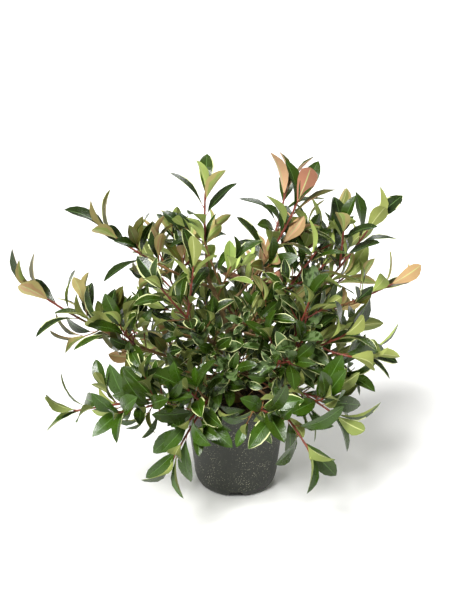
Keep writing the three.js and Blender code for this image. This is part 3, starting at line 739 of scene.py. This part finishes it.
class Leaf:
    """A leaf's place, directions and sizes, in millimetres."""

    def __init__(self, root, heading, face, *form):
        self.root, self.heading, self.face = root, heading, face
        self.side = np.cross(heading, face)
        self.length, self.width, self.recurve, self.rank, self.look = form

    def room(self, clearance):
        """The six corners of the room that the leaf takes up, with some clearance all round."""
        widest, half = self.length * WIDEST_AT, self.width / 2 + clearance
        thickest, thick = self.length * THICKEST_AT, self.length * LEAF_THICKNESS / 2 + clearance
        corners = [
            (-ROOT_DEPTH, 0, 0),
            (widest, -half, self.width * FOLD),
            (widest, half, self.width * FOLD),
            (self.length + clearance, 0, -self.recurve),
            (thickest, 0, thick),
            (thickest, 0, -thick),
        ]
        return self.root + np.array(corners) @ np.array([self.heading, self.side, self.face])


def leaf_at(axis, t, turn, slant, flat, lift, *form):
    """A leaf that leans out of its twig by slant, at a turn round it, with its face between inward and upward."""
    along, across, over = axis.frame(t)
    out = across * cos(radians(turn)) + over * sin(radians(turn))
    heading = unit(along * cos(radians(slant)) + out * sin(radians(slant)) + UP * lift)
    inward = unit(along - heading * along.dot(heading))
    face = inward * (1 - flat) + (UP - heading * UP.dot(heading)) * flat
    face = unit(face - heading * face.dot(heading))
    return Leaf(axis.point(t), heading, face, *form)


def settle(leaf, axis):
    """Keeps a leaf if there is room for it."""
    if not is_clear(leaf.room(LEAF_CLEARANCE), ROOM_FACES, axis):
        return False
    remember(leaf.room(0), ROOM_FACES, leaf)
    return True


def leaves_of(axis, start, draw, leaf_length, lift, look):
    """The leaves of one stem or twig, from its tip down. The lower ones lean out further and lie flatter."""
    roll = 360 * draw()
    leaves = []
    from_tip, rank = NODE_FIRST, 0
    while from_tip < axis.length * (1 - start) - NODE_FIRST:
        size = leaf_length * (TIP_SIZE if rank == 0 else 1) * vary(draw, *LEAF_SIZES)
        slant = min(ANGLE_MAX, TIP_ANGLE + ANGLE_STEP * rank) + ANGLE_SPREAD * (draw() - 0.5)
        recurve = size * vary(draw, *RECURVES)
        width = size * (LEAF_SHARE_WIDE + WIDTH_SPREAD * (draw() - 0.5))
        flat = min(FLAT_MAX, FLAT_STEP * rank) * vary(draw, *FLATNESS)
        for attempt in range(LEAF_TRIES):
            turn = roll + GOLDEN_ANGLE * rank + TRY_TURN * attempt * (1 if attempt % 2 else -1)
            t = 1 - from_tip / axis.length
            leaf = leaf_at(axis, t, turn, slant, flat, lift, size, width, recurve, rank, look)
            if settle(leaf, axis):
                leaves.append(leaf)
                break
        from_tip += min(NODE_SPACING_MAX, NODE_SPACING + NODE_STRETCH * rank)
        rank += 1
    return leaves


def buds_of(axis, draw, leaf_length, look):
    """The small new leaves that stand up round the tip of a shoot."""
    roll = 360 * draw()
    leaves = []
    for i in range(BUD_LEAVES):
        size = leaf_length * BUD_LEAF * vary(draw, *BUD_SIZES)
        slant = vary(draw, *BUD_SLANTS)
        leaf = leaf_at(axis, 1, roll + GOLDEN_ANGLE * i, slant, 0, 0.1, size, size * 0.3, size * 0.1, 0, look)
        if settle(leaf, axis):
            leaves.append(leaf)
    return leaves


# Growth, in the order in which each must find room: all limbs, all full-grown twigs, all full-grown leaves, and
# then the finer twigs with smaller leaves, and the buds.
for part in stretches(limbs["trunk"], 0, 1):
    remember(part, PRISM_FACES, limbs["trunk"])
for name, shoot in shoots.items():
    spans = [(max(JOINT_SHARE, shoot.bare), 1), *([(JOINT_SHARE, shoot.bare)] if shoot.bare > 0 else [])]
    for span in spans:
        for part in stretches(limbs[name], *span):
            remember(part, PRISM_FACES, limbs[name])
draws = {name: seeded(index + 11) for index, name in enumerate(shoots)}
twigs, fine_twigs, leaves = {}, {}, {}
for name, shoot in shoots.items():
    stretch, sizes = (shoot.bare, 1, 0.9), (TWIG_LENGTH, TWIG_RADII, TWIG_SPREAD, TWIG_TRIES)
    twigs[name] = twigs_of(limbs[name], shoot.twigs, stretch, draws[name], *sizes)
for name, shoot in shoots.items():
    habit = (shoot.lift, shoot.look)
    leaves[name] = leaves_of(limbs[name], max(shoot.bare, LEAF_BARE), draws[name], shoot.leaf, *habit)
    for twig in twigs[name]:
        leaves[name] += leaves_of(twig, 0.12, draws[name], shoot.leaf, *habit)
for name, shoot in shoots.items():
    habit = (shoot.lift, shoot.look)
    sizes = (FINE_LENGTH, FINE_RADII, FINE_SPREAD, FINE_TRIES, GOLDEN_ANGLE)
    fine_twigs[name] = twigs_of(limbs[name], shoot.finer, FINE_STRETCH, draws[name], *sizes)
    for twig in fine_twigs[name]:
        leaves[name] += leaves_of(twig, LEAF_BARE, draws[name], shoot.leaf * FINE_LEAF, *habit)
    for axis in (limbs[name], *twigs[name]):
        leaves[name] += buds_of(axis, draws[name], shoot.leaf, shoot.look)

# The stems and twigs as round tubes with knuckles and a blunt bud at the tip. Their last stretch is young and red.
TIP_BUD = 5
YOUNG_STRETCH = 90
STEM_MOTTLE = 9 * MM


def tube(limb, start, sides, step):
    """A limb from some share of its length to its tip, as rings of points in metres with a point at the tip."""
    count = max(3, int(limb.length * (1 - start) / step + 0.5))
    rings = []
    for i in range(count + 1):
        t = start + (1 - start) * i / count
        _, across, over = limb.frame(t)
        radius = limb.radius(t) * (1 + STEM_KNUCKLE * (i % 2)) * (0.8 if i == count else 1)
        turns = [2 * pi * side / sides for side in range(sides)]
        rings.append([limb.point(t) + radius * (cos(turn) * across + sin(turn) * over) for turn in turns])
    points = np.array([point for ring in rings for point in ring] + [limb.point(1) + limb.frame(1)[0] * TIP_BUD])
    faces = [tuple(range(sides))]
    for i in range(count):
        for k in range(sides):
            low, after = i * sides + k, i * sides + (k + 1) % sides
            faces.append((after, low, low + sides, after + sides))
    faces += [(count * sides + (k + 1) % sides, count * sides + k, len(points) - 1) for k in range(sides)]
    return points * MM, faces


points, faces, slots = [], [], []
for name, shoot in shoots.items():
    for limb in (limbs[name], *twigs[name], *fine_twigs[name]):
        start = max(0, shoot.bare - 0.02) if limb is limbs[name] else 0
        tube_points, tube_faces = tube(limb, start, STEM_SIDES, STEM_RING_STEP)
        inner = name.startswith("inner") or (limb in fine_twigs[name] and shoot.bare > 0)
        for face in tube_faces:
            gone = np.linalg.norm(tube_points[face[0]] - limb.tip * MM)
            slots.append(1 if inner or gone > YOUNG_STRETCH * MM else 0)
        faces += [tuple(i + len(points) for i in face) for face in tube_faces]
        points += tube_points.tolist()

# Young stems have a smooth wine-red skin, paler where it stretches, and older ones a smooth brown one. Both have a
# soft sheen.
stem_skins = []
for skin, dark, pale in (("red_young_stem", "#5a2317", "#904836"), ("brown_older_stem", "#523a1d", "#94703f")):
    material, tree, shader, place = new_material(skin)
    _, mixed = mottle(tree, place, STEM_MOTTLE, dark, pale, Detail=4)
    set_inputs(shader, [("Base Color", mixed), ("Roughness", 0.5)])
    stem_skins.append(material)
stems = piece_from("stems_and_twigs", points, faces, stem_skins, slots)
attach(stems, "root")

# The finishes of the leaves. A leaf's top has a waxy skin with a clear gloss over sunken veins; its underside is
# matt, paler, and flushed with red while it is young. Each is one plain colour, but for the marbled top, which has
# dark marks as well, and they are dealt out by spray and by age.
VEIN_PAIRS = 9
VEIN_SLOPE = 0.9
VEIN_DEPTH = 0.7 * MM
VEIN_SHARE = 0.07
PUCKER = 4 * MM
WAX_BLOTCH = 14 * MM
MARBLE_MARK = 11 * MM
MARBLE_DARK = "#26380f"
LEAF_IOR = 1.42
LEAF_SKINS = {
    # name: (colour, lowest and highest roughness)
    "deep_green_top": ("#20300b", 0.2, 0.34),
    "mid_green_top": ("#2f440c", 0.21, 0.36),
    "fresh_green_top": ("#34500b", 0.22, 0.38),
    "lime_top": ("#84984a", 0.34, 0.5),
    "bronze_top": ("#4b4a1a", 0.28, 0.44),
    "grey_green_top": ("#566a42", 0.24, 0.38),
    "marbled_top": ("#5f7347", 0.24, 0.38),
    "cream_edge": ("#ccd398", 0.4, 0.55),
    "pale_midrib": ("#587b38", 0.4, 0.5),
    "pale_rib": ("#c2c886", 0.5, 0.62),
    "pale_green_underside": ("#a6b762", 0.52, 0.66),
    "olive_underside": ("#949c54", 0.52, 0.66),
    "sage_underside": ("#7f8b4a", 0.52, 0.66),
    # The darkest underside is painted shade: a darker copy of the pale underside for the leaves at the back of the
    # bush.
    "shaded_underside": ("#56632f", 0.52, 0.66),
    "tan_underside": ("#bfb072", 0.52, 0.66),
    "lime_underside": ("#c2d67c", 0.5, 0.62),
    "rosy_underside": ("#bd9a6c", 0.5, 0.62),
    "coral_underside": ("#b27a60", 0.5, 0.62),
    "peach_underside": ("#d9ae86", 0.5, 0.62),
    "red_leaf_stalk": ("#8e4436", 0.45, 0.58),
}
skins = []
for skin, (colour, gloss, matt) in LEAF_SKINS.items():
    material, tree, shader, place = new_material(skin)
    blade = add_node(tree, "ShaderNodeUVMap", uv_map="blade")
    split = add_node(tree, "ShaderNodeSeparateXYZ", [("Vector", blade)]).outputs
    centred = add_node(tree, "ShaderNodeMath", [(0, split["X"]), (1, 0.5)], operation="SUBTRACT")
    off_midrib = add_node(tree, "ShaderNodeMath", [(0, centred)], operation="ABSOLUTE")
    swept = add_node(
        tree,
        "ShaderNodeMath",
        [(0, off_midrib), (1, -VEIN_SLOPE), (2, split["Y"])],
        operation="MULTIPLY_ADD",
    )
    paced = add_node(tree, "ShaderNodeMath", [(0, swept), (1, 2 * pi * VEIN_PAIRS)], operation="MULTIPLY")
    veins = add_node(tree, "ShaderNodeMath", [(0, paced)], operation="SINE")
    pucker = add_node(tree, "ShaderNodeTexNoise", [("Vector", place), ("Scale", 1 / PUCKER), ("Detail", 3)])
    height = add_node(tree, "ShaderNodeMath", [(0, veins), (1, VEIN_SHARE), (2, pucker)], operation="MULTIPLY_ADD")
    relief = add_node(tree, "ShaderNodeBump", [("Strength", 0.7), ("Distance", VEIN_DEPTH), ("Height", height)])
    wax = add_node(tree, "ShaderNodeTexNoise", [("Vector", place), ("Scale", 1 / WAX_BLOTCH), ("Detail", 3)])
    worn = add_node(
        tree,
        "ShaderNodeMapRange",
        [("Value", wax), ("From Min", 0.3), ("From Max", 0.7), ("To Min", gloss), ("To Max", matt)],
    )
    set_inputs(shader, [("Base Color", linear(colour)), ("Roughness", worn), ("Normal", relief), ("IOR", LEAF_IOR)])
    if skin == "marbled_top":
        marks = add_node(tree, "ShaderNodeTexNoise", [("Vector", place), ("Scale", 1 / MARBLE_MARK), ("Detail", 3)])
        parted = add_node(tree, "ShaderNodeMapRange", [("Value", marks), ("From Min", 0.45), ("From Max", 0.55)])
        marbled = add_node(
            tree,
            "ShaderNodeMix",
            [("Factor", parted), ("A", linear(MARBLE_DARK)), ("B", linear(colour))],
            data_type="RGBA",
        )
        set_inputs(shader, [("Base Color", marbled)])
    skins.append(material)

# The colours of each look: tops, undersides and flushed margin of the young leaves, tops and undersides of the
# grown ones, and the share of the grown leaves that have cream edges, which half as many of the young ones have.
LOOKS = {
    "blush": ("bronze mid_green", "coral peach pale_green", "rosy", "deep_green", "pale_green", 0.3),
    "tan": ("deep_green bronze", "pale_green tan rosy", "tan", "deep_green", "pale_green", 0.45),
    "olive": ("deep_green mid_green", "olive pale_green", "tan", "deep_green", "pale_green", 0.5),
    "pale": ("deep_green mid_green", "pale_green", "tan", "deep_green mid_green", "pale_green", 0.5),
    "leafy": ("mid_green deep_green", "olive pale_green", "olive", "deep_green mid_green", "sage", 0.9),
    "green": ("fresh_green mid_green", "sage olive", "sage", "mid_green fresh_green", "sage", 0.22),
    # The back shoots' undersides take the darkest underside, which is painted shade, not their own colour.
    "shaded": ("deep_green mid_green", "sage olive", "sage", "deep_green", "shaded", 0.7),
    "marbled": ("mid_green marbled", "olive", "sage", "grey_green marbled", "sage", 0.9),
    "lime": ("lime mid_green", "lime", "lime", "mid_green lime", "lime pale_green", 0.6),
}

# A leaf's form, as rings round its blade: how far along the leaf each ring stands, how wide it is, how far across
# and up each of its points lies, and how far those may roam.
RING_AT = np.array([0.13, 0.24, 0.38, 0.53, 0.68, 0.82, 0.93])
RING_WIDE = np.array([0.09, 0.36, 0.7, 0.94, 1.02, 0.84, 0.46])
RING_ACROSS = np.array([-1, -0.89, -0.035, 0.035, 0.89, 1, 0.6, 0.06, -0.06, -0.6])
RING_UP = np.array([0, 0.25, 0.05, 0.05, 0.25, 0, -0.3, -0.6, -0.6, -0.3])
RING_ROAM = np.array([0, 0.1, 0, 0, -0.1, 0, -0.35, 0, 0, 0.35])
RING_KINDS = ("edge", "blade", "midrib", "blade", "edge", "flush", "under", "rib", "under", "flush")
CUP_YOUNG = 0.46
CUP_OLD = 0.24
BEND = 2.2
SWAY = 0.08
TWIST = radians(36)
WAVE = 0.02
WAVES = 1.7
FULL_LENGTH = 60
STALK_RADIUS = 0.75
STALK_RINGS = ((0.07, 1), (0.17, 0.8))
STALK_SQUARE = np.array([[0, -1, 0], [0, 0, 1], [0, 1, 0], [0, 0, -1]])
STALK_DROP = 0.3
FLUSHED = 0.7
EDGED_OLD = 0.3
EDGED_MOST = 0.9
EDGE_BROKEN = 0.28
EDGE_UNEVEN = 0.12
RING = len(RING_ACROSS)
BLADE_POINTS = len(RING_AT) * RING + 1
leaf_faces, face_kinds = [tuple(range(RING))[::-1]], ["stalk"]
for i in range(len(RING_AT)):
    for k in range(RING):
        low, after = i * RING + k, i * RING + (k + 1) % RING
        if i == len(RING_AT) - 1:
            leaf_faces.append((low, after, BLADE_POINTS - 1))
        elif RING_KINDS[k] in ("under", "flush"):
            leaf_faces.append((after, after + RING, low + RING, low))
        else:
            leaf_faces.append((low, after, after + RING, low + RING))
        face_kinds.append(RING_KINDS[k])
for i in range(2):
    for k in range(4):
        low, after = BLADE_POINTS + i * 4 + k, BLADE_POINTS + i * 4 + (k + 1) % 4
        leaf_faces.append((low, after, after + 4, low + 4))
        face_kinds.append("stalk")
leaf_faces.append(tuple(range(BLADE_POINTS, BLADE_POINTS + 4))[::-1])
face_kinds.append("stalk")
leaf_uv = [[(across + 1) / 2, at] for at in RING_AT for across in RING_ACROSS] + [[0.5, 1]] + [[0.5, 0]] * 12


def leaf_points(leaf, draw):
    """One leaf's points, in metres. Each blade is folded, arched, twisted and waved a little unlike the next."""
    at = RING_AT * leaf.length
    half = RING_WIDE * leaf.width / 2 * [1 + EDGE_UNEVEN * (draw() - 0.5) for _ in RING_AT]
    arch = leaf.length * (0.02 + 0.09 * draw())
    sway = leaf.length * SWAY * (draw() - 0.5)
    twist = TWIST * (draw() - 0.5)
    cup = (CUP_OLD + (CUP_YOUNG - CUP_OLD) * max(0, 1 - leaf.rank / YOUNG_RANKS)) * (0.7 + 0.6 * draw())
    wave, phase = leaf.length * WAVE * draw(), 2 * pi * draw()
    size = min(1, leaf.length / FULL_LENGTH)
    droop = arch * np.sin(pi * RING_AT) - BEND * leaf.recurve * RING_AT**2.2
    across = RING_ACROSS + RING_ROAM * [[draw()] for _ in RING_AT]
    sideways = half[:, None] * across
    waves = wave * np.sin(2 * pi * WAVES * RING_AT[:, None] + phase + (RING_ACROSS > 0) * 2)
    up = RING_UP * size + (cup * half[:, None] + waves) * np.abs(across)
    turn = (twist * RING_AT)[:, None]
    aside = sideways * np.cos(turn) - up * np.sin(turn) + (sway * RING_AT**2)[:, None]
    above = sideways * np.sin(turn) + up * np.cos(turn) + droop[:, None]
    blade = np.stack([np.broadcast_to(at[:, None], aside.shape), aside, above], axis=2).reshape(-1, 3)
    tip = np.array([[leaf.length, sway, -BEND * leaf.recurve]])
    stalk = []
    for share, thick in ((-ROOT_DEPTH / leaf.length, 1.25), *STALK_RINGS):
        centre = np.array([share * leaf.length, sway * share**2, arch * sin(pi * share)])
        ring = STALK_RADIUS * thick * size * STALK_SQUARE
        stalk.append(centre + ring - [0, 0, STALK_DROP * (share > 0.1)])
    spots = np.concatenate([blade, tip, *stalk])
    return (leaf.root + spots @ np.array([leaf.heading, leaf.side, leaf.face])) * MM


def leaf_tints(leaf, draw):
    """The finish of each kind of face on a leaf, by its look and its age."""
    young_tops, young_unders, flush, tops, unders, edged = LOOKS[leaf.look]
    young = leaf.rank < YOUNG_RANKS
    if young:
        tops, unders, edged = young_tops, young_unders, edged / 2
    tops, unders = tops.split(), unders.split()
    top = tops[int(draw() * len(tops))] + "_top"
    under = unders[int(draw() * len(unders))] + "_underside"
    flushed = flush + "_underside" if young and draw() < FLUSHED else under
    cream = draw() < min(EDGED_MOST, edged + EDGED_OLD * (leaf.rank >= OLD_RANKS))
    return {
        "blade": top,
        "edge": "cream_edge" if cream else top,
        "midrib": "pale_midrib",
        "flush": flushed,
        "under": under,
        "rib": "pale_rib",
        "stalk": "red_leaf_stalk",
    }


# The leaves as three pieces, each of which takes the place of its own shoots' masses.
LOW_UNDER = 340
SMOOTH_LEAF = radians(50)
skin_index = {skin: i for i, skin in enumerate(LEAF_SKINS)}
inside = [name for name in shoots if name.startswith("inner")]
low = [name for name, shoot in shoots.items() if name not in inside and shoot.tip[2] < LOW_UNDER]
high = [name for name in shoots if name not in inside and name not in low]
draw = seeded(71)
for piece_name, names, finish in (
    ("leaves_high", high, "foliage"),
    ("leaves_low", low, "foliage"),
    ("leaves_inside", inside, "foliage_marbled"),
):
    points, faces, slots, uvs = [], [], [], []
    for leaf in (leaf for name in names for leaf in leaves[name]):
        tints = leaf_tints(leaf, draw)
        faces += [tuple(i + len(points) for i in face) for face in leaf_faces]
        points += leaf_points(leaf, draw).tolist()
        uvs += leaf_uv
        for kind in face_kinds:
            tint = tints[kind]
            if kind == "edge" and tint == "cream_edge" and draw() < EDGE_BROKEN:
                tint = tints["blade"]
            slots.append(skin_index[tint])
    spray = piece_from(piece_name, points, faces, skins, slots)
    corners = np.zeros(len(spray.data.loops), dtype=np.int32)
    spray.data.loops.foreach_get("vertex_index", corners)
    spray.data.uv_layers.new(name="blade").data.foreach_set("uv", np.array(uvs)[corners].ravel())
    only(spray)
    bpy.ops.object.shade_smooth_by_angle(angle=SMOOTH_LEAF)
    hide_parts(*(f"foliage_{name}" for name in names))
    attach(spray, "root")


# The studio: a plain pale floor that runs out of sight, soft light from high on the left, and the photo's camera.
FLOOR_WIDTH = 400
bpy.ops.object.select_all(action="DESELECT")
bpy.ops.mesh.primitive_plane_add(size=FLOOR_WIDTH)
floor = bpy.context.object
floor.name = "studio_floor"
paper, tree, shader, place = new_material("matt_white_paper")
set_inputs(shader, [("Base Color", linear("#f4f4f2")), ("Roughness", 0.9)])
floor.data.materials.append(paper)

world = bpy.data.worlds.new("studio")
bpy.context.scene.world = world
world.use_nodes = True
set_inputs(world.node_tree.nodes["Background"], [("Color", (1, 0.985, 0.95, 1)), ("Strength", 0.2)])
AIM = (-0.03, 0, 0.3)
for name, kind, place, size, power in (
    # A sun's size is its angle in degrees, and a lamp's is its width in metres.
    ("key", "SUN", (-1.2, -1.7, 2.7), 24, 5.5),
    ("fill", "AREA", (1.8, -1.5, 1.2), 1.4, 6),
    ("rim", "AREA", (0.5, 1.6, 2.2), 1.0, 30),
):
    bpy.ops.object.light_add(type=kind, location=place)
    lamp = bpy.context.object
    lamp.name = name
    lamp.data.energy = power
    if kind == "SUN":
        lamp.data.angle = radians(size)
    else:
        lamp.data.size = size
    away = [there - here for there, here in zip(AIM, place)]
    lamp.rotation_euler = (atan2(hypot(away[0], away[1]), -away[2]), 0, atan2(-away[0], away[1]))

# The camera stands about two metres off, above the plant, and looks down on it by 21 degrees.
bpy.ops.object.camera_add(location=(-0.0199, -1.9803, 1.1197), rotation=(radians(69), 0, 0))
camera = bpy.context.object
camera.data.sensor_width = 36
camera.data.lens = 72
bpy.context.scene.camera = camera
bpy.context.scene.view_settings.view_transform = "Standard"
